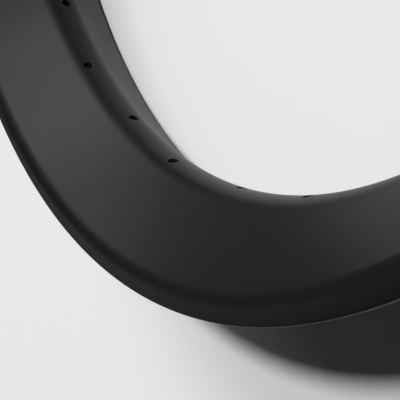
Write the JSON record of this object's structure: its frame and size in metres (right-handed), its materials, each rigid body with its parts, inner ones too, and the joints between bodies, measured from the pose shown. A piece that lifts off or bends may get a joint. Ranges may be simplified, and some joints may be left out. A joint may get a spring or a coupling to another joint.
{
  "type": "bicycle rim",
  "caption": "Wide black carbon bicycle wheel rim, a hollow moulded ring with tyre flanges, a drop channel and staggered spoke holes.",
  "frame": {"origin": "wheel centre: on the axle line, in the rim's mid-plane", "axes": "+Z along the axle, so the rim lies on one side; +X from the wheel centre to the valve hole"},
  "size_m": [0.57, 0.57, 0.0796],
  "materials": {
    "carbon": "satin"
  },
  "bodies": {
    "root": {"rim": "carbon"}
  },
  "joints": []
}
